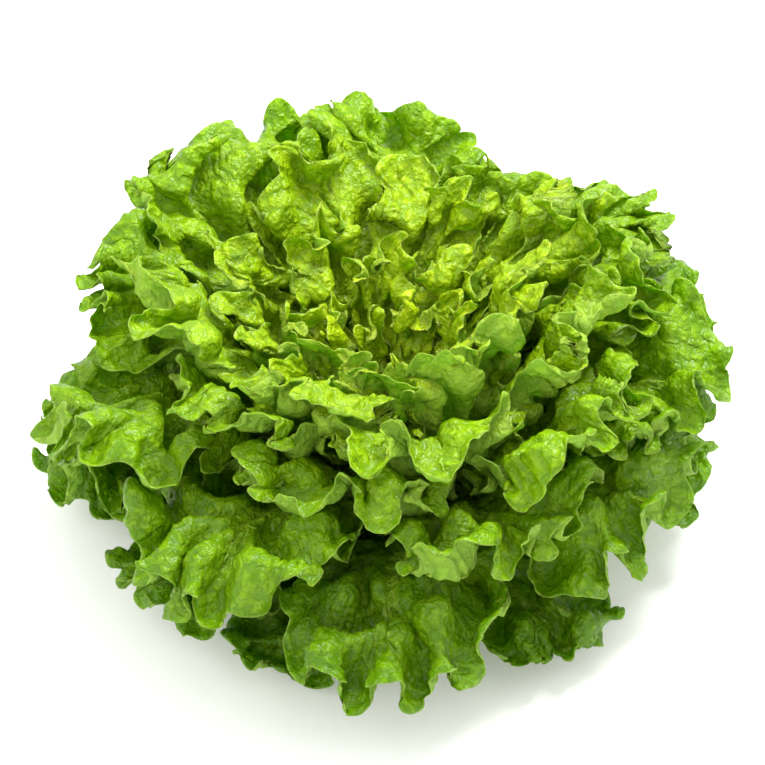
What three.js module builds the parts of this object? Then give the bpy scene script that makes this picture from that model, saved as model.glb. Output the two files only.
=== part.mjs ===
// A head of loose-leaf lettuce standing on its cut stem. Millimetres, +Z up, origin in the middle of the
// cut. The leaves grow in a spiral from a short stem. Each one lies on a surface of its own, and these
// surfaces fan out from the stem to a ring-shaped crown like the jets of a fountain. They never cross, so
// the leaves nest. A leaf is narrow enough that the nearest leaves over and under it are five places away
// in the spiral on one side of its midrib and eight on the other, and its ruffles stay within half of that.
import * as THREE from "three";

// Driving dimensions, in millimetres.
const headRadius = 150; // reach of the widest leaves from the axis
const headHeight = 135; // top of the crown above the table
const crownRadius = 95; // the ring where the crown is highest
const funnelRadius = 15; // open middle of the crown, where the youngest leaves stand
const stemRadius = 20; // widest part of the stem, under the lowest leaves
const stemHeight = 50; // from the cut to the growing tip
const cutRadius = 17; // the flat cut that the head stands on
const skirtHeight = 8; // from the cut to the lowest leaf
const leafThickness = 1.2;
const ribDepth = 3; // how far a midrib stands out of the leaf's underside at the stem
const budRadius = 5; // the youngest leaves, still folded together
const budHeight = 20;
const clearance = 0.3; // between a leaf or the bud and the stem

// The leaves, from the lowest up. ruffle is how far a margin swings either way, in places of the spiral.
const leafGroups = [
  { name: "outer_leaf", count: 18, ruffle: 2.6, columns: 20, rows: [0, 0.15, 0.45, 0.75, 1] },
  { name: "middle_leaf", count: 20, ruffle: 2.4, columns: 18, rows: [0, 0.15, 0.45, 0.75, 1] },
  { name: "heart_leaf", count: 18, ruffle: 1.3, columns: 14, rows: [0, 0.2, 0.6, 1] },
];
const leafCount = leafGroups.reduce((sum, group) => sum + group.count, 0);
const turnPerLeaf = THREE.MathUtils.degToRad(137.508); // the golden angle
const firstAzimuth = THREE.MathUtils.degToRad(-108);

// How a leaf is shaped, as shares of its own length or half width.
const halfWidthShare = 0.47; // half width over length
const ribShare = 0.8; // the midrib ends this far up the leaf
const tilt = 0.75; // how far one side of a leaf stands in and the other out, in places
const tiltTurn = THREE.MathUtils.degToRad(6); // and how soon beside the midrib
const ruffleStart = 0.08; // the blade is calm up to this share of its length
const ruffleFull = 0.5; // and fully ruffled from this one
const crestReach = 0.03; // how much further the crests of the margin reach than its dips
const heartThinning = 0.35; // how much thinner the youngest leaf is than the oldest
const heartRibLoss = 0.7; // and how much less its midrib stands out
const widestTurn = THREE.MathUtils.degToRad(25); // half the angle that a leaf may wrap round the axis

// Angles of the fan: where leaves sit on the stem's dome and on the crown, and how they leave and arrive.
const domeAngles = [2, 68];
const crownAngles = [-64, 164];
const heartCrowding = 0.35; // how much closer together the youngest leaves stand on the crown
const sprawl = 0.5; // how squarely the crown turns under, as a power of the cosine
const startAngles = [4, 75];
const inwardLean = 0.3; // how fast the tips turn inwards past upright
const recurve = [-30, 35]; // how far tips bend back, at the lowest leaves and half way up the crown
const recurveFrom = [-63, 17]; // crown angles over which that bend changes
const recurveTo = [75, 166]; // and over which it is lost towards the heart
const startHandle = 0.3; // how far the paths hold their first and last direction, in spans
const endHandle = 0.38;

// The head is not quite round: it bulges and lifts in these waves round the axis.
const bulgeWaves = [
  { share: 0.05, count: 2, phase: 0.52 },
  { share: 0.035, count: 3, phase: 0.35 },
];
const liftWaves = [{ share: 0.06, count: 3, phase: 0.9 }];

const degrees = (range, share) => THREE.MathUtils.degToRad(THREE.MathUtils.lerp(range[0], range[1], share));

// The point on the stem where a leaf starts. place is 0 at the lowest leaf and 1 at the growing tip.
function leafRoot(place) {
  const angle = degrees(domeAngles, place);
  const rise = stemHeight - skirtHeight;
  const outward = new THREE.Vector2(Math.cos(angle) / stemRadius, Math.sin(angle) / rise).normalize();
  return new THREE.Vector2(stemRadius * Math.cos(angle), skirtHeight + rise * Math.sin(angle))
    .addScaledVector(outward, clearance + leafThickness / 2);
}

// How far the tip of the leaf that ends at this crown angle bends back.
function bendBack(crownAngle) {
  const ease = ([low, high]) => THREE.MathUtils.smoothstep(THREE.MathUtils.radToDeg(crownAngle), low, high);
  return degrees(recurve, ease(recurveFrom)) * (1 - ease(recurveTo));
}

// The path of a leaf's midrib in the half plane of radius and height: a cubic curve from stem to crown.
function leafPath(place) {
  const upright = Math.PI / 2;
  const crownAngle = degrees(crownAngles, place * (1 + heartCrowding * (1 - place)));
  const reach = crownAngle < upright ? headRadius - crownRadius : crownRadius - funnelRadius;
  const aside = crownAngle < 0 ? Math.cos(crownAngle) ** sprawl : Math.cos(crownAngle);
  const root = leafRoot(place);
  const tip = new THREE.Vector2(
    crownRadius + reach * aside,
    (headHeight / 2) * (1 + Math.sin(crownAngle)),
  );
  const start = degrees(startAngles, place);
  const heading = crownAngle < upright ? crownAngle : upright + (crownAngle - upright) * inwardLean;
  const end = heading - bendBack(crownAngle);
  const span = root.distanceTo(tip);
  const leaving = new THREE.Vector2(Math.cos(start), Math.sin(start));
  const arriving = new THREE.Vector2(Math.cos(end), Math.sin(end));
  const afterRoot = root.clone().addScaledVector(leaving, startHandle * span);
  const beforeTip = tip.clone().addScaledVector(arriving, -endHandle * span);
  return new THREE.CubicBezierCurve(root, afterRoot, beforeTip, tip);
}

// Half a leaf's outline, from the stem round to the tip: across as a share of the half width, along as a
// share of the length.
const outline = new THREE.SplineCurve(
  [
    [0.17, 0],
    [0.3, 0.12],
    [0.62, 0.28],
    [0.9, 0.48],
    [1, 0.68],
    [0.88, 0.86],
    [0.5, 0.98],
    [0, 1],
  ].map(([across, along]) => new THREE.Vector2(across, along)),
);

const waveSum = (waves, azimuth) =>
  waves.reduce((sum, { share, count, phase }) => sum + share * Math.sin(count * azimuth + phase), 0);

// A leaf's swing out of its own surface, -1 to 1: neighbouring columns swing opposite ways, some further.
const swing = (column, seed) => (column % 2 ? 1 : -1) * (0.85 + 0.15 * Math.sin(1.7 * column + seed));

// A point of the round head moved by the waves, which are the same for every leaf and so never bring two
// leaves together. They fade out towards the stem.
function settle(radius, azimuth, height) {
  const outward = (radius / headRadius) ** 2;
  const bulge = 1 + outward * waveSum(bulgeWaves, azimuth);
  const lift = 1 + outward * waveSum(liftWaves, azimuth);
  return new THREE.Vector3(
    radius * bulge * Math.cos(azimuth),
    radius * bulge * Math.sin(azimuth),
    Math.max(height * lift, leafThickness / 2),
  );
}

// The middle surface of a leaf: columns run from the midrib to the margin, and the margin runs from one
// side of the root over the tip to the other. The two columns that meet on the midrib share their point.
function middleSurface(order, { ruffle, columns, rows }) {
  const place = order / (leafCount - 1);
  const middle = leafPath(place);
  const length = middle.getLength();
  const azimuth = firstAzimuth + order * turnPerLeaf;
  const points = [];
  const at = [];
  for (let column = 0; column <= columns; column++) {
    const turned = (2 * column) / columns - 1; // -1 and 1 at the root, 0 at the tip
    const side = Math.sign(turned);
    const edge = outline.getPointAt(1 - Math.abs(turned));
    const ribAlong = ribShare * (1 - Math.abs(turned));
    at[column] = rows.map((row, step) => {
      if (step === 0 && turned > 0) return at[columns - column][0];
      const across = THREE.MathUtils.lerp(0, edge.x, row) * side;
      const reached = THREE.MathUtils.lerp(ribAlong, edge.y, row);
      const grown = THREE.MathUtils.smoothstep(reached, ruffleStart, ruffleFull) * row ** 1.5;
      const swung = swing(column, order) * grown;
      const aside = across * halfWidthShare * length;
      const tilted = tilt * Math.tanh(aside / Math.max(middle.getPoint(reached).x, stemRadius) / tiltTurn);
      const path = leafPath(place + (ruffle * swung + tilted) / (leafCount - 1));
      const { x: radius, y: height } = path.getPoint(reached + crestReach * swung);
      const turn = aside / Math.max(radius, stemRadius);
      points.push(settle(radius, azimuth + widestTurn * Math.tanh(turn / widestTurn), height));
      return points.length - 1;
    });
  }
  return { points, at };
}

// A closed leaf: its upper and lower faces stand half a thickness either side of the middle surface, with
// the midrib as a ridge under it, and a rim joins them.
function leafGeometry(order, group) {
  const { columns, rows } = group;
  const { points, at } = middleSurface(order, group);
  const upper = [];
  for (let column = 0; column < columns; column++) {
    for (let row = 0; row < rows.length - 1; row++) {
      const corners = [
        at[column][row],
        at[column][row + 1],
        at[column + 1][row + 1],
        at[column + 1][row],
      ];
      if (corners[0] !== corners[3]) upper.push([corners[0], corners[2], corners[3]]);
      upper.push([corners[0], corners[1], corners[2]]);
    }
  }
  const flat = new THREE.BufferGeometry().setFromPoints(points).setIndex(upper.flat());
  flat.computeVertexNormals();
  const normal = new THREE.Vector3();
  const place = order / (leafCount - 1);
  const half = (leafThickness * (1 - heartThinning * place)) / 2;
  const ribHere = ribDepth * (1 - heartRibLoss * place);
  const ribStations = new Map(at.map((column, i) => [column[0], Math.abs((2 * i) / columns - 1)]));
  const faces = [1, -1].map((side) =>
    points.map((point, index) => {
      normal.fromBufferAttribute(flat.getAttribute("normal"), index);
      const rib = side < 0 && ribStations.has(index) ? ribHere * ribStations.get(index) : 0;
      return point.clone().addScaledVector(normal, side * (half + rib));
    }),
  );
  faces[1].forEach((point) => (point.z = Math.max(point.z, 0)));
  const under = points.length;
  const lower = upper.map(([a, b, c]) => [a + under, c + under, b + under]);
  const last = rows.length - 1;
  const rim = [
    ...at[0],
    ...at.slice(1, columns).map((column) => column[last]),
    ...at[columns].slice(1).reverse(),
    at[0][0],
  ];
  const sides = rim.slice(1).flatMap((b, i) => {
    const a = rim[i];
    return [
      [b, a, a + under],
      [b, a + under, b + under],
    ];
  });
  return new THREE.BufferGeometry()
    .setFromPoints(faces.flat())
    .setIndex([...upper, ...lower, ...sides].flat());
}

// The stem: a flat cut, a short skirt and a dome that carries the leaves, turned about its axis.
function stemGeometry() {
  const rise = stemHeight - skirtHeight;
  const dome = new THREE.EllipseCurve(0, skirtHeight, stemRadius, rise, 0, Math.PI / 2).getPoints(12);
  dome[dome.length - 1].x = 0;
  const profile = [new THREE.Vector2(0, 0), new THREE.Vector2(cutRadius, 0), ...dome];
  return new THREE.LatheGeometry(profile, 28);
}

// The bud: an egg with a pointed top on a flat foot.
function budGeometry() {
  const steps = 7;
  const profile = [new THREE.Vector2(0, 0)];
  for (let i = 0; i <= steps; i++) {
    const share = i / steps;
    const radius = budRadius * (0.7 + 0.9 * share - 1.6 * share ** 2.2);
    profile.push(new THREE.Vector2(i === steps ? 0 : radius, budHeight * share));
  }
  return new THREE.LatheGeometry(profile, 14);
}

// LatheGeometry turns about Y, and the head stands along Z.
function turned(name, geometry, material, base = 0) {
  const mesh = new THREE.Mesh(geometry.rotateX(Math.PI / 2), material);
  mesh.name = name;
  mesh.position.z = base;
  return mesh;
}

const matt = (color, roughness) => new THREE.MeshStandardMaterial({ color, roughness, metalness: 0 });
const leafColours = { outer_leaf: 0x4f8a12, middle_leaf: 0x6fa818, heart_leaf: 0x9cc93a };

const head = new THREE.Group();
head.add(turned("stem", stemGeometry(), matt(0xd9e3b4, 0.6)));
head.add(turned("heart_bud", budGeometry(), matt(0xc4dc6e, 0.5), stemHeight + clearance));
let order = 0;
for (const group of leafGroups) {
  const { name, count } = group;
  const material = matt(leafColours[name], 0.45);
  for (let i = 1; i <= count; i++) {
    const leaf = new THREE.Mesh(leafGeometry(order, group), material);
    leaf.name = `${name}_${String(i).padStart(2, "0")}`;
    head.add(leaf);
    order += 1;
  }
}

export default head;
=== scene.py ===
import math

import bpy
import numpy as np
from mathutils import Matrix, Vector


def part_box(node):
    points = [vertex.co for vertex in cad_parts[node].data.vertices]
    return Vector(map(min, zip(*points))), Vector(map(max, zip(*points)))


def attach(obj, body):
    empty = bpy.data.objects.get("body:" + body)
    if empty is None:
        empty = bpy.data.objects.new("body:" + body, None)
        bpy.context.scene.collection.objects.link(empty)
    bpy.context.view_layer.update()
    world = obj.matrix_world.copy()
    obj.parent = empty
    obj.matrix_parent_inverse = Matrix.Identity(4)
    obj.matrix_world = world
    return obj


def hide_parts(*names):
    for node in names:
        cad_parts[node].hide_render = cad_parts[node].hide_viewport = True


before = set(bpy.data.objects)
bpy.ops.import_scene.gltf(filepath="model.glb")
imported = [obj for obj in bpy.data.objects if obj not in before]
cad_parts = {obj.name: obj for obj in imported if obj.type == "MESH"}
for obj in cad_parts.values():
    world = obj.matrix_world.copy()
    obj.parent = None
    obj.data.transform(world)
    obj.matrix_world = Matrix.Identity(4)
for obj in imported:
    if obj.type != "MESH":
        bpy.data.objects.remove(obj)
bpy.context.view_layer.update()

chance = np.random.default_rng(11)
fullTurn = 2 * math.pi
phaseRange = 6.3  # random phases are drawn from about a full turn


def hexColour(text):
    # an sRGB hex colour turned to linear
    shares = np.array([int(text[i:i + 2], 16) for i in (1, 3, 5)]) / 255
    linear = np.where(shares <= 0.04045, shares / 12.92, ((shares + 0.055) / 1.055) ** 2.4)
    return (*linear.tolist(), 1.0)


def addNode(material, kind, settings=None, links=None):
    # one node: settings are its own properties or its sockets' values, links are the sockets that feed it
    node = material.node_tree.nodes.new(kind)
    for name, value in (settings or {}).items():
        if isinstance(name, str) and hasattr(node, name):
            setattr(node, name, value)
        else:
            node.inputs[name].default_value = value
    for name, socket in (links or {}).items():
        material.node_tree.links.new(socket, node.inputs[name])
    return node


def ease(value, low, high):
    # 0 below low, 1 above high, smooth between
    share = np.clip((value - low) / (high - low), 0, 1)
    return share * share * (3 - 2 * share)


def unit(vectors):
    return vectors / np.maximum(np.linalg.norm(vectors, axis=-1, keepdims=True), 1e-12)


head = {
    "radius": 0.150,  # reach of the widest leaves from the axis
    "height": 0.135,
    "crown": 0.095,  # radius of the ring where the head is highest
    "funnel": 0.015,  # open middle of the crown
    "domeAngles": (2, 68),  # where the leaves sit on the stem
    "crownAngles": (-64, 164),  # where they end round the crown
    "heartCrowding": 0.35,  # how much closer together the youngest stand there
    "sprawl": 0.5,  # how squarely the crown turns under, as a power of the cosine
    "startAngles": (4, 75),  # how they leave the stem
    "inwardLean": 0.3,
    "recurve": (-30, 35),  # how far tips bend back outwards, at the lowest leaves and half way up the crown
    "recurveFrom": (-63, 17),  # crown angles over which that bend changes
    "recurveTo": (75, 166),  # and over which it is lost towards the heart
    "startHandle": 0.3,
    "endHandle": 0.38,
    "clearance": 0.0009,  # from the stem to the middle of a leaf
    "firstAzimuth": -108,
    "turnPerLeaf": 137.508,  # the golden angle
    "widestTurn": 26,
    "bulge": ((2, 0.05, 0.52), (3, 0.035, 0.35)),  # waves round the axis: how many, how strong, their phase
    "lift": (3, 0.06, 0.9),  # one such wave in the heights
    "warp": 0.005,  # how far the whole head is pushed out of shape by lying about
    "warpLength": 0.11,
    "warpWaves": 9,
    "warpFrom": (0.02, 0.09),  # distance from the axis over which the warp comes in
    "floorGap": 0.0006,  # from the table to the middle of the lowest leaves
    "nearFloor": 0.007,  # leaves are squeezed together below this height
}
leafCount = sum("_leaf_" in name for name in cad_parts)
stemLow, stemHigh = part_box("stem")
stemRadius = (stemHigh[0] - stemLow[0]) / 2
stemHeight = stemHigh[2]
skirtHeight = 0.008  # of the stem's sloping foot, under its dome


def spread(angles, place):
    return np.radians(angles[0] + (angles[1] - angles[0]) * place)


def shell(place, along):
    # Radius and height on the surface that a leaf grows on. place runs from 0 at the lowest leaf to 1 at
    # the growing tip, along from 0 at the stem to 1 at the leaf's tip. Each path is a cubic Bezier curve
    # from the stem's dome to an ellipse round the crown.
    dome = spread(head["domeAngles"], place)
    rise = stemHeight - skirtHeight
    out = unit(np.stack([np.cos(dome) / stemRadius, np.sin(dome) / rise], -1))
    root = np.stack([stemRadius * np.cos(dome), skirtHeight + rise * np.sin(dome)], -1)
    root = root + out * head["clearance"]
    angle = spread(head["crownAngles"], place * (1 + head["heartCrowding"] * (1 - place)))
    reach = np.where(np.cos(angle) > 0, head["radius"] - head["crown"], head["crown"] - head["funnel"])
    aside = np.where(angle < 0, np.abs(np.cos(angle)) ** head["sprawl"], np.cos(angle))
    tip = np.stack([head["crown"] + reach * aside, head["height"] / 2 * (1 + np.sin(angle))], -1)
    start = spread(head["startAngles"], place)
    upright = math.pi / 2
    end = np.where(angle < upright, angle, upright + (angle - upright) * head["inwardLean"])
    bend = spread(head["recurve"], ease(np.degrees(angle), *head["recurveFrom"]))
    end = end - bend * (1 - ease(np.degrees(angle), *head["recurveTo"]))
    span = np.linalg.norm(tip - root, axis=-1, keepdims=True)
    second = root + np.stack([np.cos(start), np.sin(start)], -1) * head["startHandle"] * span
    third = tip - np.stack([np.cos(end), np.sin(end)], -1) * head["endHandle"] * span
    u = along[..., None]
    return (1 - u) ** 3 * root + 3 * (1 - u) ** 2 * u * second + 3 * (1 - u) * u ** 2 * third + u ** 3 * tip


# slow waves through space that push the whole head out of round, each with its own direction and phase
warpWaves = [
    (unit(chance.normal(size=3)), unit(chance.normal(size=3)), chance.uniform(0.7, 1.5),
     chance.uniform(0, phaseRange))
    for _ in range(head["warpWaves"])
]


def settle(radius, azimuth, height):
    # round coordinates to points: the head bulges in a few waves round the axis and is then warped
    outward = (radius / head["radius"]) ** 2
    bulge = 1 + outward * sum(most * np.sin(waves * azimuth + phase) for waves, most, phase in head["bulge"])
    waves, most, phase = head["lift"]
    lift = 1 + outward * most * np.sin(waves * azimuth + phase)
    out = radius * bulge
    points = np.stack([out * np.cos(azimuth), out * np.sin(azimuth), height * lift], -1)
    free = ease(radius, *head["warpFrom"]) * head["warp"] / math.sqrt(len(warpWaves) / 2)
    push = np.zeros_like(points)
    for direction, along, pace, phase in warpWaves:
        course = points @ along * (fullTurn * pace / head["warpLength"])
        push += direction * np.sin(course + phase)[..., None]
    points = points + push * free[..., None]
    # close to the table heights are squeezed together, so nothing sinks into it and nothing crosses
    floor, near = head["floorGap"], head["nearFloor"]
    low = floor + (near - floor) * np.exp((points[..., 2] - near) / (near - floor))
    points[..., 2] = np.where(points[..., 2] < near, low, points[..., 2])
    return points


leaf = {
    "halfWidth": 0.47,  # over the length
    "ribShare": 0.8,  # the midrib ends this far up
    # half the outline from the stem to the tip: across over the half width, along over the length
    "outline": [(0.17, 0), (0.3, 0.12), (0.62, 0.28), (0.9, 0.48),
                (1, 0.68), (0.88, 0.86), (0.5, 0.98), (0, 1)],
    "rowGather": 1.3,  # rows stand closer together towards the margin
    "reachRange": (0.88, 1.08),  # leaves end short of their path or a little past it
    "grownFrom": (0.05, 0.4),  # share of the length over which frills grow in
    "frilledFrom": (0.05, 0.5),  # and share of the way from midrib to margin
    "frillLength": (0.011, 0.029),  # length of the main frills in the heart and in the outer leaves
    "frillShare": 0.25,  # and over the leaf's length between those
    "frillSpread": (0.85, 1.15),
    "frillDepth": (0.18, 0.66),  # how far they swing over their length, near the midrib and at the margin
    "depthPower": 1.6,
    "localRange": (0.25, 1.8),  # shortest and longest single frill, over the usual one
    "strength": 0.88,  # how strongly they swing, and by how much that wanders
    "strengthWander": 0.2,
    "strengthRange": (0.5, 1.1),
    "lowestDepth": 0.7,  # the lowest leaves lie flatter, by this factor
    "lowestShare": 0.16,  # which is lost over this share of the places
    "frillLobe": 0.2,  # how far they bulge sideways into round lobes, over their length
    "wander": 1.3,  # drift of the frills' phase, in radians
    "wanderLengths": (2.1, 3.4, 5.3),  # over so many frills
    "slant": 1.3,  # drift of the phase between midrib and margin, so frills run slanting
    "slantLength": 4.1,
    "sway": 0.7,  # and a wave of it
    "swayPace": 4.4,
    "bladeWander": 1.6,  # and its drift over the blade
    "bladeLength": 0.05,
    "uneven": 0.2,  # a second wave, at twice the pace, makes crests and troughs differ
    "foldPace": 0.41,  # broad folds for each frill
    "foldReach": 1.0,  # how far the broad folds swing, in places of the spiral
    "foldFrom": (0.05, 0.7),
    "foldSlant": 1.2,
    "foldWander": 1.6,
    "mostReach": 3.1,  # no swing goes further than this from the leaf's own surface, in places
    "tilt": 0.75,  # one side of a leaf stands in and the other out, by as many places
    "tiltTurn": 6,
    "scallop": 0.0035,  # the crests of the frills reach further out
    "crimpLength": 0.011,  # small crimps along the margin
    "crimpReach": 0.0007,
    "crimpWander": (0.019, 0.034, 0.051),  # lengths over which their pace drifts
    "crimpFade": (0.023, 0.047),  # and their strength
    "crumpleLength": 0.026,  # the blade is crumpled between its frills
    "crumpleHeight": 0.0034,
    "calming": 10,  # rounds of averaging that keep the crumples out of sharp bends
    "puffLength": 0.008,  # puffed fields between sunken veins
    "puffHeight": 0.001,
    "margin": 0.0004,  # thickness at the margin
    "blade": 0.0007,  # and near the midrib
    "leastHeight": 0.0002,  # of the underside over the table
    "ribDepth": 0.0028,
    "ribWidth": 0.0042,
    "ribYouth": 0.7,  # the youngest leaves' midribs are this much shallower
    "veinGap": 0.013,
    "veinShares": (0.2, 0.8),  # how far side veins and the midrib take on the veins' colour
    "midribWidth": 0.0022,
}
leafGroups = {
    "outer_leaf": {"columns": 460, "rows": 20},
    "middle_leaf": {"columns": 460, "rows": 20},
    "heart_leaf": {"columns": 340, "rows": 15},
}


def outlineAt(share):
    # the outline as a smooth curve through its points, by share of its length from stem (0) to tip (1)
    knots = np.array(leaf["outline"], float)
    padded = np.vstack([2 * knots[0] - knots[1], knots, 2 * knots[-1] - knots[-2]])
    step = np.linspace(0, 1, 40, endpoint=False)[:, None]
    pieces = []
    for a, b, c, d in zip(padded, padded[1:], padded[2:], padded[3:]):
        pieces.append(0.5 * (2 * b + (c - a) * step + (2 * a - 5 * b + 4 * c - d) * step ** 2
                             + (3 * b - a - 3 * c + d) * step ** 3))
    curve = np.vstack([*pieces, knots[-1:]])
    run = np.concatenate([[0], np.cumsum(np.linalg.norm(np.diff(curve, axis=0), axis=1))])
    run /= run[-1]
    return np.interp(share, run, curve[:, 0]), np.interp(share, run, curve[:, 1])


def wander(run, waves, leaves):
    # a slow unsteady value along a margin, about -1 to 1, its own for each leaf
    total = np.zeros_like(run)
    for length in waves:
        total += np.sin(fullTurn * run / length + chance.uniform(0, fullTurn, (leaves, 1, 1)))
    return total / math.sqrt(len(waves) * 1.3)


def weave(flat, length):
    # waves of about one length that cross the blade in many directions, added up, about -1 to 1
    leaves = len(flat)
    total = np.zeros(flat.shape[:3])
    directions = 7
    for direction in np.arange(directions) * math.pi / directions:
        course = flat[..., 0] * math.cos(direction) + flat[..., 1] * math.sin(direction)
        pace = fullTurn / length * chance.uniform(0.75, 1.3, (leaves, 1, 1))
        total += np.cos(course * pace + chance.uniform(0, phaseRange, (leaves, 1, 1)))
    return total / math.sqrt(directions / 2)


def distanceRun(points):
    # distance along each row from its first column
    steps = np.linalg.norm(np.diff(points, axis=1), axis=-1)
    return np.concatenate([np.zeros_like(steps[:, :1]), np.cumsum(steps, 1)], 1)


def growLeaves(places, columns, rows):
    # Middle surfaces of several leaves, [leaf, column, row]. Columns run from the midrib to the margin and
    # fan round the tip. Frills swing across the leaf's own shell, and sideways at twice the pace, which
    # makes them overhang; a swing stays within a few places of the spiral, about half way to the next leaf.
    leaves = len(places)
    place = places[:, None, None]
    turned = np.linspace(-1, 1, columns + 1)[None, :, None]
    inward = 1 - np.linspace(0, 1, rows + 1)[None, None, :]
    row = 1 - inward ** leaf["rowGather"]
    fine = np.linspace(0, 1, 60)
    path = shell(place[:, 0] + 0 * fine, 0 * place[:, 0] + fine)
    length = np.linalg.norm(np.diff(path, axis=1), axis=-1).sum(1)[:, None, None]
    reach = chance.uniform(*leaf["reachRange"], (leaves, 1, 1))
    azimuth = math.radians(head["firstAzimuth"]) + np.radians(head["turnPerLeaf"]) * place * (leafCount - 1)

    across, reached = outlineAt(1 - np.abs(turned))
    ribAlong = leaf["ribShare"] * (1 - np.abs(turned))
    sideways = np.sign(turned) * across * leaf["halfWidth"] * length
    flat = np.stack([sideways * row, (ribAlong + (reached - ribAlong) * row) * length], -1)
    # a leaf that would wrap too far round the axis is squeezed evenly from both sides
    limit = math.radians(head["widestTurn"])
    radius = np.maximum(shell(place, flat[..., 1] / length)[..., 0], stemRadius)
    wide, high = outlineAt(np.linspace(0, 1, 200))
    wrap = np.interp(flat[..., 1] / length, high, wide) * leaf["halfWidth"] * length / radius
    flat[..., 0] *= limit * np.tanh(wrap / limit) / np.maximum(wrap, 1e-6)

    margin = distanceRun(flat[:, :, -1:])
    margin = margin - margin[:, columns // 2:columns // 2 + 1]
    heading = unit(np.gradient(flat, axis=1))
    rowPace = np.linalg.norm(np.gradient(flat, axis=1), axis=-1)
    closeness = rowPace / rowPace[..., -1:]

    # the main frills: slow drifts of their phase make some narrow and some wide
    frill = np.clip(leaf["frillShare"] * length, *leaf["frillLength"])
    frill = frill * chance.uniform(*leaf["frillSpread"], (leaves, 1, 1))
    slow = [frill * times for times in leaf["wanderLengths"]]
    phase = fullTurn * margin / frill + leaf["wander"] * wander(margin, slow, leaves)
    slant = leaf["slant"] * wander(margin, [frill * leaf["slantLength"]], leaves)
    swayPhase = leaf["swayPace"] * row + phaseRange * chance.random((leaves, 1, 1))
    slant = slant + leaf["sway"] * np.sin(swayPhase)
    phase = phase + slant * row + leaf["bladeWander"] * weave(flat, leaf["bladeLength"])
    # the true length of each frill on its row: where the leaf is narrow or drifts crowd, frills swing less
    crowding = np.maximum(np.gradient(phase, axis=1), 1e-6)
    shortest, longest = (share * frill * closeness for share in leaf["localRange"])
    local = np.maximum(np.clip(fullTurn * rowPace / crowding, shortest, longest), 1e-6)
    strength = leaf["strength"] + leaf["strengthWander"] * wander(margin, slow[:2], leaves)
    strength = np.clip(strength, *leaf["strengthRange"])

    along = flat[..., 1] / length
    grown = ease(along, *leaf["grownFrom"])
    probe = 0.01
    ahead, behind = (shell(place + step, reach * along) for step in (probe, -probe))
    spacing = np.linalg.norm(ahead - behind, axis=-1) / (2 * probe * (leafCount - 1))
    shallow, deep = leaf["frillDepth"]
    depth = (shallow + (deep - shallow) * row ** leaf["depthPower"]) * ease(row, *leaf["frilledFrom"])
    depth = depth * grown * strength
    depth = depth * (leaf["lowestDepth"] + (1 - leaf["lowestDepth"]) * ease(place, 0, leaf["lowestShare"]))
    most = leaf["mostReach"] * spacing
    swing = most * np.tanh(depth * local / most)
    depth = swing / local
    broad = fullTurn * leaf["foldPace"] * margin / frill + leaf["foldWander"] * wander(margin, slow, leaves)
    broad = broad + leaf["foldSlant"] * row + phaseRange * chance.random((leaves, 1, 1))
    fold = leaf["foldReach"] * grown * ease(row, *leaf["foldFrom"]) * np.cos(broad)
    uneven = leaf["uneven"] * np.cos(2 * phase + 2 * wander(margin, slow[1:], leaves))

    aside = flat[..., 0] / np.maximum(shell(place, along)[..., 0], stemRadius)
    tilt = leaf["tilt"] * np.tanh(aside / math.radians(leaf["tiltTurn"]))
    shift = swing / spacing * (np.cos(phase) + uneven) + fold
    shift = leaf["mostReach"] * np.tanh(shift / leaf["mostReach"]) + tilt
    lobe = leaf["frillLobe"] * (depth / deep) ** 1.5 * local
    flat = flat + heading * (lobe * np.sin(2 * phase))[..., None]
    outward = unit(np.gradient(flat, axis=2))
    scallop = leaf["scallop"] * length / length.max() * row ** 3
    flat = flat + outward * (scallop * np.cos(2 * phase))[..., None]

    curve = shell(place + shift / (leafCount - 1), reach * flat[..., 1] / length)
    radius, height = curve[..., 0], curve[..., 1]
    turn = flat[..., 0] / np.maximum(radius, stemRadius)
    near = 0.8 * limit  # frills that reach further round than this are drawn in
    inside = np.clip(turn, -near, near)
    turn = inside + (limit - near) * np.tanh((turn - inside) / (limit - near))
    points = settle(radius, azimuth + turn, height)
    return points, row, length, flat


def surfaceNormals(points):
    # unit normals, upper side; the two halves share the midrib
    normals = np.cross(np.gradient(points, axis=2), np.gradient(points, axis=1))
    normals[:, :, 0] = normals[:, :, 0] + normals[:, ::-1, 0]
    return unit(normals)


def calmNormals(points):
    # normals averaged with their neighbours, so that they shorten where the surface bends sharply
    normals = surfaceNormals(points)
    for _ in range(leaf["calming"]):
        normals[:, 1:-1] = (normals[:, :-2] + normals[:, 1:-1] + normals[:, 2:]) / 3
        normals[:, :, 1:-1] = (normals[:, :, :-2] + 4 * normals[:, :, 1:-1] + normals[:, :, 2:]) / 6
    return normals * np.linalg.norm(normals, axis=-1, keepdims=True)


def crumple(points, flat, row):
    # the blade between the frills is crumpled
    height = leaf["crumpleHeight"] * weave(flat, leaf["crumpleLength"]) * ease(row, 0.02, 0.3)
    return points + calmNormals(points) * height[..., None]


def crimp(points, row):
    # small waves along the margin, square to the frilled surface, by true distance along the margin
    run = distanceRun(points[:, :, -1:])
    leaves = len(points)
    phase = fullTurn * run / leaf["crimpLength"] + 1.5 * wander(run, leaf["crimpWander"], leaves)
    strength = 0.7 + 0.4 * wander(run, leaf["crimpFade"], leaves)
    swing = leaf["crimpReach"] * strength * ease(row, 0.55, 1.0) * np.cos(phase)
    return points + surfaceNormals(points) * swing[..., None]


def puff(points):
    # domes between sunken veins: the distance from a gyroid that runs through space
    x, y, z = np.moveaxis(points * (math.pi / leaf["puffLength"]), -1, 0)
    gyroid = np.sin(x) * np.cos(y) + np.sin(y) * np.cos(z) + np.sin(z) * np.cos(x)
    height = leaf["puffHeight"] * (0.5 - np.exp(-1.5 * gyroid ** 2))
    return points + surfaceNormals(points) * height[..., None]


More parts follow.
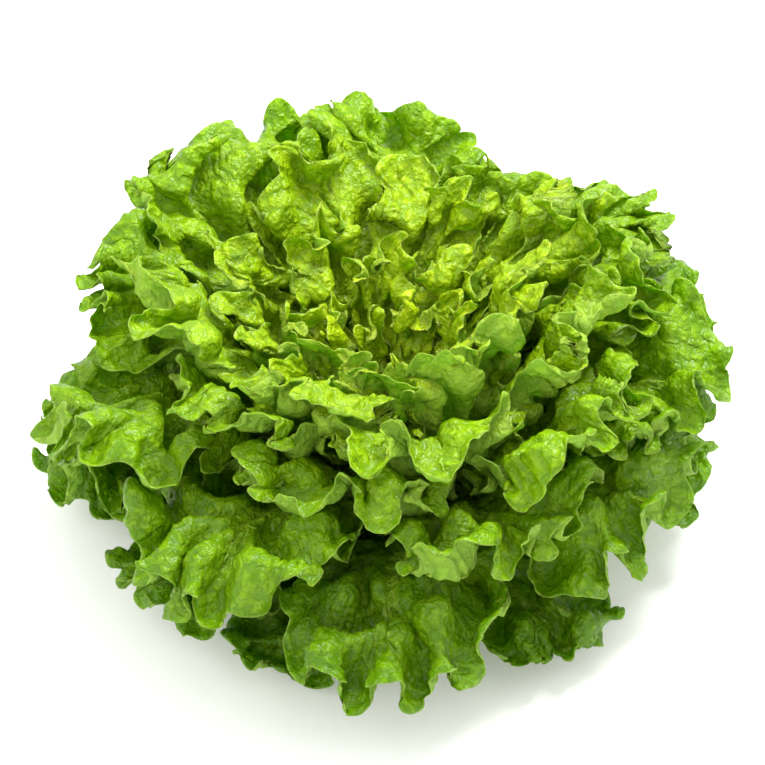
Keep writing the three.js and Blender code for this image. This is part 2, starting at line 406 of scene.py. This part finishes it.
def leafSides(points, row, along, flat, place):
    # upper and under side, on either side of the middle surface; the midrib swells underneath
    normals = surfaceNormals(points)
    thickness = leaf["margin"] + (leaf["blade"] - leaf["margin"]) * (1 - row) ** 0.5
    rib = leaf["ribDepth"] * (1 - leaf["ribYouth"] * place) * (1 - along) ** 1.2
    rib = rib * np.exp(-(flat[..., 0] / leaf["ribWidth"]) ** 2) * (1 - row)
    upper = points + normals * (thickness / 2)[..., None]
    lower = points - normals * (thickness / 2 + rib)[..., None]
    lower[..., 2] = np.maximum(lower[..., 2], leaf["leastHeight"])
    upper[..., 2] = np.maximum(upper[..., 2], lower[..., 2] + leaf["leastHeight"] / 2)
    return upper, lower


def veinShare(row, along, flat, length, columns):
    # how much a spot belongs to a vein: side veins fan out to the margin and fade, the midrib fades upwards
    marginRun = np.linspace(-1, 1, columns + 1)[None, :, None] * length * 0.8
    wave = 0.5 + 0.5 * np.cos(fullTurn * marginRun / leaf["veinGap"])
    side, middle = leaf["veinShares"]
    midrib = np.exp(-(flat[..., 0] / leaf["midribWidth"]) ** 2) * ease(along, 1, 0.2)
    return side * ease(wave, 0.86, 1.0) * (1 - row) + middle * midrib


def onBothSides(values, shape, index):
    # one leaf's values for each corner, the same on its upper and its under side
    return np.tile(np.broadcast_to(values, shape)[index].ravel(), 2)


def leafFaces(columns, rows):
    # corner numbers of a closed leaf: upper side, under side, and the rim that joins them
    number = np.arange((columns + 1) * (rows + 1)).reshape(columns + 1, rows + 1)
    half = columns // 2
    number[half + 1:, 0] = number[:half, 0][::-1]
    upper = np.stack([number[:-1, :-1], number[:-1, 1:], number[1:, 1:], number[1:, :-1]], -1).reshape(-1, 4)
    under = number.size
    lower = upper[:, ::-1] + under
    rim = np.concatenate([number[0, :], number[1:, -1], number[-1, -2::-1]])
    a, b = rim[:-1], rim[1:]
    sides = np.stack([b, a, a + under, b + under], -1)
    return np.vstack([upper, lower, sides]), under * 2


def makeMesh(name, points, faces, attributes, material):
    used, back = np.unique(faces, return_inverse=True)
    faces = back.reshape(faces.shape)
    corners = faces.shape[1]
    mesh = bpy.data.meshes.new(name)
    mesh.vertices.add(len(used))
    mesh.vertices.foreach_set("co", points[used].astype(np.float32).ravel())
    mesh.loops.add(faces.size)
    mesh.loops.foreach_set("vertex_index", faces.astype(np.int32).ravel())
    mesh.polygons.add(len(faces))
    mesh.polygons.foreach_set("loop_start", np.arange(0, faces.size, corners, dtype=np.int32))
    mesh.polygons.foreach_set("loop_total", np.full(len(faces), corners, dtype=np.int32))
    mesh.update(calc_edges=True)
    mesh.shade_smooth()
    for title, values in attributes.items():
        layer = mesh.attributes.new(title, "FLOAT", "POINT")
        layer.data.foreach_set("value", values[used].astype(np.float32))
    mesh.materials.append(material)
    piece = bpy.data.objects.new(name, mesh)
    bpy.context.scene.collection.objects.link(piece)
    return piece


def leafMaterial(name):
    # Fresh lettuce leaf: a waxy green skin over pale wet tissue that lets light through. To the eye: glossy
    # puffed fields with painted shade darkening the creases between them, paler veins; matt and pale
    # underneath; a thin pale rim.
    material = bpy.data.materials.new(name)
    material.use_nodes = True
    material.node_tree.nodes.clear()
    place = addNode(material, "ShaderNodeTexCoord").outputs["Object"]
    age = addNode(material, "ShaderNodeAttribute", {"attribute_name": "age"}).outputs["Fac"]
    margin = addNode(material, "ShaderNodeAttribute", {"attribute_name": "margin"}).outputs["Fac"]
    vein = addNode(material, "ShaderNodeAttribute", {"attribute_name": "vein"}).outputs["Fac"]
    under = addNode(material, "ShaderNodeAttribute", {"attribute_name": "under"}).outputs["Fac"]
    fieldScale = 1 / 0.0048  # fields between the small veins are about 5 mm across
    wobble = addNode(material, "ShaderNodeTexNoise", {"Scale": 260, "Detail": 2}, {"Vector": place})
    bent = addNode(material, "ShaderNodeMix",
                   {"data_type": "RGBA", "blend_type": "LINEAR_LIGHT", 0: 0.004},
                   {6: place, 7: wobble.outputs["Color"]})
    fields = addNode(material, "ShaderNodeTexVoronoi",
                     {"feature": "SMOOTH_F1", "Scale": fieldScale, "Smoothness": 0.35},
                     {"Vector": bent.outputs[2]})
    patches = addNode(material, "ShaderNodeTexNoise", {"Scale": 28, "Detail": 3, "Roughness": 0.6},
                      {"Vector": place})
    # colour by age, then patches, painted shade in the creases between the fields, veins, underside and rim
    byAge = addNode(material, "ShaderNodeValToRGB", None, {"Fac": age})
    ramp = byAge.color_ramp
    ramp.elements[0].color = hexColour("#72a006")
    ramp.elements[1].color = hexColour("#dcf020")
    ramp.elements.new(0.5).color = hexColour("#a2c810")
    dark = addNode(material, "ShaderNodeMix",
                   {"data_type": "RGBA", "blend_type": "MULTIPLY", 0: 0.55, 7: hexColour("#8fb070")},
                   {6: byAge.outputs["Color"]})
    patchy = addNode(material, "ShaderNodeMix", {"data_type": "RGBA"},
                     {0: patches.outputs["Fac"], 6: byAge.outputs["Color"], 7: dark.outputs[2]})
    # painted shade: the creases between the puffed fields are darkened towards their edges, where shade
    # would fall
    paintedCreaseShadeShare = addNode(material, "ShaderNodeMapRange", {"From Min": 0.25, "From Max": 0.65, "To Max": 0.6},
                     {"Value": fields.outputs["Distance"]})
    paintedCreaseShade = addNode(material, "ShaderNodeMix",
                     {"data_type": "RGBA", "blend_type": "MULTIPLY", 7: hexColour("#9db87e")},
                     {0: paintedCreaseShadeShare.outputs["Result"], 6: patchy.outputs[2]})
    veined = addNode(material, "ShaderNodeMix", {"data_type": "RGBA", 7: hexColour("#b6d648")},
                     {0: vein, 6: paintedCreaseShade.outputs[2]})
    pale = addNode(material, "ShaderNodeMix",
                   {"data_type": "RGBA", "blend_type": "MIX", 0: 0.42, 7: hexColour("#a3c850")},
                   {6: veined.outputs[2]})
    sided = addNode(material, "ShaderNodeMix", {"data_type": "RGBA"},
                    {0: under, 6: veined.outputs[2], 7: pale.outputs[2]})
    rimShare = addNode(material, "ShaderNodeMapRange",
                       {"From Min": 0.0008, "From Max": 0.0002, "To Max": 0.28}, {"Value": margin})
    coloured = addNode(material, "ShaderNodeMix", {"data_type": "RGBA", 7: hexColour("#c3db68")},
                       {0: rimShare.outputs["Result"], 6: sided.outputs[2]})
    # the puffed fields stand out of the upper side and are hollows in the under side
    upward = addNode(material, "ShaderNodeMapRange", {"To Min": -1, "To Max": 1}, {"Value": under})
    heights = addNode(material, "ShaderNodeMath", {"operation": "MULTIPLY"},
                      {0: fields.outputs["Distance"], 1: upward.outputs["Result"]})
    bump = addNode(material, "ShaderNodeBump", {"Strength": 0.9, "Distance": 0.002},
                   {"Height": heights.outputs["Value"]})
    rough = addNode(material, "ShaderNodeMapRange", {"To Min": 0.3, "To Max": 0.6}, {"Value": under})
    skin = addNode(material, "ShaderNodeBsdfPrincipled",
                   {"IOR": 1.42, "Subsurface Weight": 0.35, "Subsurface Radius": (0.9, 1.5, 0.3),
                    "Subsurface Scale": 0.001, "Specular IOR Level": 0.38},
                   {"Base Color": coloured.outputs[2], "Roughness": rough.outputs["Result"],
                    "Normal": bump.outputs["Normal"]})
    through = addNode(material, "ShaderNodeBsdfTranslucent", None,
                      {"Color": coloured.outputs[2], "Normal": bump.outputs["Normal"]})
    blade = addNode(material, "ShaderNodeMixShader", {0: 0.3},
                    {1: skin.outputs["BSDF"], 2: through.outputs["BSDF"]})
    addNode(material, "ShaderNodeOutputMaterial", None, {"Surface": blade.outputs["Shader"]})
    return material


first = 0
for group, grid in leafGroups.items():
    columns, rows = grid["columns"], grid["rows"]
    count = sum(name.startswith(group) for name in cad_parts)
    places = (first + np.arange(count)) / (leafCount - 1)
    blades, row, length, flat = growLeaves(places, columns, rows)
    blades = puff(crimp(crumple(blades, flat, row), row))
    along = np.clip(flat[..., 1] / length, 0, 1)
    upper, lower = leafSides(blades, row, along, flat, places[:, None, None])
    toMargin = np.linalg.norm(blades - blades[:, :, -1:], axis=-1)
    vein = veinShare(row, along, flat, length, columns)
    bladeFaces, corners = leafFaces(columns, rows)
    material = leafMaterial(group.replace("_leaf", "LettuceLeaf"))
    for index in range(count):
        name = f"{group}_{index + 1:02d}"
        both = np.vstack([upper[index].reshape(-1, 3), lower[index].reshape(-1, 3)])
        attributes = {
            "margin": onBothSides(toMargin, toMargin.shape, index),
            "vein": onBothSides(vein, toMargin.shape, index),
            "age": np.full(corners, places[index]),
            "under": np.repeat([0.0, 1.0], corners // 2),
        }
        piece = makeMesh(f"{name}_blade", both, bladeFaces, attributes, material)
        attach(piece, "root")
        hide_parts(name)
    first += count
    print(f"{group}: {count} leaves of {2 * len(bladeFaces)} triangles")


stem = {
    "cutRadius": 0.017,
    "cutRings": 30,
    "skirtRings": 12,
    "domeRings": 50,
    "around": 160,
    "scars": 9,  # leaves trimmed off below the lowest one
    "scarHigh": 0.0065,  # height of the first scar, and how much lower each next one is
    "scarStep": 0.0006,
    "scarWidth": 0.0075,
    "scarHeight": 0.0022,
    "scarDepth": 0.0007,
    "fibreHeight": 0.00012,
}


def roundPoints(reach, height, around, wave):
    # a closed round piece: a profile carried round the axis, each spot at reach + wave(turn, height, reach)
    turn = np.linspace(0, fullTurn, around, endpoint=False)[None, :]
    out = reach[1:-1, None] + wave(turn, height[1:-1, None], reach[1:-1, None])
    rings = np.stack([out * np.cos(turn), out * np.sin(turn), height[1:-1, None] + 0 * out], -1)
    return np.vstack([[0, 0, height[0]], rings.reshape(-1, 3), [0, 0, height[-1]]])


def roundFaces(rings, around):
    # its triangles, from the pole at the foot over the rings to the pole at the top
    turn = np.arange(around)
    ahead = (turn + 1) % around
    starts = 1 + np.arange(rings)[:, None] * around
    a, b, c, d = starts[:-1] + turn, starts[:-1] + ahead, starts[1:] + ahead, starts[1:] + turn
    foot = np.stack([0 * turn, 1 + ahead, 1 + turn], -1)
    top = np.stack([0 * turn + rings * around + 1, starts[-1] + turn, starts[-1] + ahead], -1)
    between = [np.stack(corners, -1).reshape(-1, 3) for corners in ((a, b, c), (a, c, d))]
    return np.vstack([foot, *between, top])


def stemMaterial():
    # Cut lettuce stem: wet pale flesh inside a thin green skin. To the eye: cream in the middle of the cut,
    # a faint tan ring where the milky sap has dried, and long fibres up the sides.
    material = bpy.data.materials.new("cutLettuceStem")
    material.use_nodes = True
    material.node_tree.nodes.clear()
    place = addNode(material, "ShaderNodeTexCoord").outputs["Object"]
    parts = addNode(material, "ShaderNodeSeparateXYZ", None, {"Vector": place})
    flatPlace = addNode(material, "ShaderNodeVectorMath", {"operation": "MULTIPLY", 1: (1, 1, 0)},
                        {0: place})
    fromAxis = addNode(material, "ShaderNodeVectorMath", {"operation": "LENGTH"},
                       {0: flatPlace.outputs["Vector"]})
    acrossCut = addNode(material, "ShaderNodeMapRange", {"From Max": stem["cutRadius"]},
                        {"Value": fromAxis.outputs["Value"]})
    rings = addNode(material, "ShaderNodeValToRGB", None, {"Fac": acrossCut.outputs["Result"]})
    ramp = rings.color_ramp
    ramp.elements[0].color = hexColour("#e9edc9")
    ramp.elements[1].color = hexColour("#b9c68a")
    for share, colour in ((0.55, "#e2e8bb"), (0.72, "#c9b27c"), (0.82, "#dfe6b2")):
        ramp.elements.new(share).color = hexColour(colour)
    longPlace = addNode(material, "ShaderNodeVectorMath", {"operation": "MULTIPLY", 1: (1, 1, 0.12)},
                        {0: place})
    fibres = addNode(material, "ShaderNodeTexNoise", {"Scale": 900, "Detail": 3},
                     {"Vector": longPlace.outputs["Vector"]})
    side = addNode(material, "ShaderNodeMix",
                   {"data_type": "RGBA", 6: hexColour("#c6da86"), 7: hexColour("#e0e8b4")},
                   {0: fibres.outputs["Fac"]})
    aboveCut = addNode(material, "ShaderNodeMapRange", {"From Min": 0.0003, "From Max": 0.0012},
                       {"Value": parts.outputs["Z"]})
    both = addNode(material, "ShaderNodeMix", {"data_type": "RGBA"},
                   {0: aboveCut.outputs["Result"], 6: rings.outputs["Color"], 7: side.outputs[2]})
    bump = addNode(material, "ShaderNodeBump", {"Strength": 0.4, "Distance": 0.0003},
                   {"Height": fibres.outputs["Fac"]})
    flesh = addNode(material, "ShaderNodeBsdfPrincipled",
                    {"IOR": 1.4, "Roughness": 0.42, "Subsurface Weight": 0.5,
                     "Subsurface Radius": (1.0, 1.2, 0.6), "Subsurface Scale": 0.002},
                    {"Base Color": both.outputs[2], "Normal": bump.outputs["Normal"]})
    addNode(material, "ShaderNodeOutputMaterial", None, {"Surface": flesh.outputs["BSDF"]})
    return material


scarTurn = np.radians(head["firstAzimuth"] - head["turnPerLeaf"] * np.arange(1, stem["scars"] + 1))
scarRise = stem["scarHigh"] - stem["scarStep"] * np.arange(stem["scars"])


def stemWave(turn, height, reach):
    # a shallow dish with a raised lower lip where each trimmed leaf stood, and fine fibres up the side
    side = ease(height, 0, 0.001)
    total = stem["fibreHeight"] * np.sin(37 * turn + 2 * np.sin(3 * turn)) * side
    for scar, rise in zip(scarTurn, scarRise):
        across = ((turn - scar + math.pi) % fullTurn - math.pi) * stemRadius / stem["scarWidth"]
        up = (height - rise) / stem["scarHeight"]
        total = total - stem["scarDepth"] * side * np.exp(-across ** 2 - up ** 2) * (1 + 1.6 * up)
    return total


# the stem's profile: over the cut, up the skirt and over the dome
cutShare = np.linspace(0, 1, stem["cutRings"])
domeTurn = np.linspace(0, math.pi / 2, stem["domeRings"])
stemReach = np.concatenate([
    stem["cutRadius"] * cutShare,
    np.linspace(stem["cutRadius"], stemRadius, stem["skirtRings"])[1:-1],
    stemRadius * np.cos(domeTurn),
])
stemRise = np.concatenate([
    0 * cutShare,
    np.linspace(0, skirtHeight, stem["skirtRings"])[1:-1],
    skirtHeight + (stemHeight - skirtHeight) * np.sin(domeTurn),
])
stemPoints = roundPoints(stemReach, stemRise, stem["around"], stemWave)
stemFaces = roundFaces(len(stemReach) - 2, stem["around"])
stemFlesh = makeMesh("stem_flesh", stemPoints, stemFaces, {}, stemMaterial())
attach(stemFlesh, "root")
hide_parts("stem")
print(f"stem: {len(stemFaces)} triangles")


bud = {
    "rings": 60,
    "around": 120,
    "share": 0.98,  # of the width of its CAD node
    "wraps": 3,
    "lip": 0.2,
    "twist": 2.2,
    "crinkle": 0.00035,
}
budLow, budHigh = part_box("heart_bud")


def budWave(turn, height, reach):
    # leaves wrapped round each other: each one stands out most at its lip and tucks under the next
    up = (height - budLow[2]) / (budHigh[2] - budLow[2])
    wrap = (bud["wraps"] * turn / fullTurn + bud["twist"] * up) % 1
    lip = ease(wrap, 0, 0.85) * (1 - ease(wrap, 0.9, 1))
    crinkle = np.sin(11 * turn + 9 * up) * np.sin(14 * up + 2 * np.sin(2 * turn))
    crinkle = bud["crinkle"] * crinkle * ease(up, 0.2, 0.6) * ease(reach, 0, 0.001)
    return crinkle - bud["lip"] * reach * (1 - lip)


# the bud's profile: widest a third of the way up and drawn together to a point
budUp = np.linspace(0, 1, bud["rings"])
budReach = (budHigh[0] - budLow[0]) / 2 * bud["share"] * (0.7 + 0.9 * budUp - 1.6 * budUp ** 2.2) / 0.97
budReach = np.concatenate([[0, 0.002], budReach[:-1], [0]])
budRise = budLow[2] + (budHigh[2] - budLow[2]) * np.concatenate([[0, 0], budUp])
budPoints = roundPoints(budReach, budRise, bud["around"], budWave)
budFaces = roundFaces(len(budReach) - 2, bud["around"])
even = np.ones(len(budPoints))
budLooks = {"margin": 0.01 * even, "vein": 0 * even, "age": even, "under": 0.4 * even}
budLeaves = makeMesh("heart_bud_leaves", budPoints, budFaces, budLooks, material)
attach(budLeaves, "root")
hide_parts("heart_bud")
print(f"heart bud: {len(budFaces)} triangles")


studio = {
    "view": (0, 38.5),  # azimuth and elevation
    "lens": 200,
    "distance": 1.8,
    "aim": (-0.0033, 0.0, 0.073),
    "worldStrength": 1.3,
    "paperGlow": 0.14,  # the paper is also lit from below
    "lightAim": (0, 0, 0.06),
    "keyLight": {"size": 0.6, "power": 32, "where": (0.35, 0.4, 1.3)},
    "fillLight": {"size": 1.2, "power": 8, "where": (-1.0, -0.6, 0.9)},
}
floorMesh = bpy.data.meshes.new("floor")
floorMesh.from_pydata([(-6, -6, 0), (6, -6, 0), (6, 6, 0), (-6, 6, 0)], [], [(0, 1, 2, 3)])
floor = bpy.data.objects.new("floor", floorMesh)
bpy.context.scene.collection.objects.link(floor)
paper = bpy.data.materials.new("whitePaperSweep")  # a matt white studio sweep
paper.use_nodes = True
paperLook = paper.node_tree.nodes["Principled BSDF"].inputs
paperLook["Base Color"].default_value = hexColour("#f4f4f2")
paperLook["Roughness"].default_value = 0.9
paperLook["Emission Color"].default_value = (1, 1, 1, 1)
paperLook["Emission Strength"].default_value = studio["paperGlow"]
floorMesh.materials.append(paper)

world = bpy.data.worlds.new("studio")
world.use_nodes = True
world.node_tree.nodes["Background"].inputs["Color"].default_value = (1, 1, 1, 1)
world.node_tree.nodes["Background"].inputs["Strength"].default_value = studio["worldStrength"]
bpy.context.scene.world = world

for lightName in ("keyLight", "fillLight"):
    lamp = bpy.data.lights.new(lightName, "AREA")
    lamp.shape = "SQUARE"
    lamp.size = studio[lightName]["size"]
    lamp.energy = studio[lightName]["power"]
    softBox = bpy.data.objects.new(lightName, lamp)
    softBox.location = studio[lightName]["where"]
    beam = Vector(studio["lightAim"]) - Vector(studio[lightName]["where"])
    softBox.rotation_euler = beam.to_track_quat("-Z", "Y").to_euler()
    bpy.context.scene.collection.objects.link(softBox)

viewTurn, viewRise = (math.radians(angle) for angle in studio["view"])
away = Vector((-math.sin(viewTurn) * math.cos(viewRise), -math.cos(viewTurn) * math.cos(viewRise),
               math.sin(viewRise)))
camera = bpy.data.objects.new("camera", bpy.data.cameras.new("camera"))
camera.data.lens = studio["lens"]
camera.data.sensor_width = 36
camera.location = Vector(studio["aim"]) + away * studio["distance"]
camera.rotation_euler = (-away).to_track_quat("-Z", "Y").to_euler()
bpy.context.scene.collection.objects.link(camera)
bpy.context.scene.camera = camera
bpy.context.scene.view_settings.view_transform = "Standard"
print("studio set")
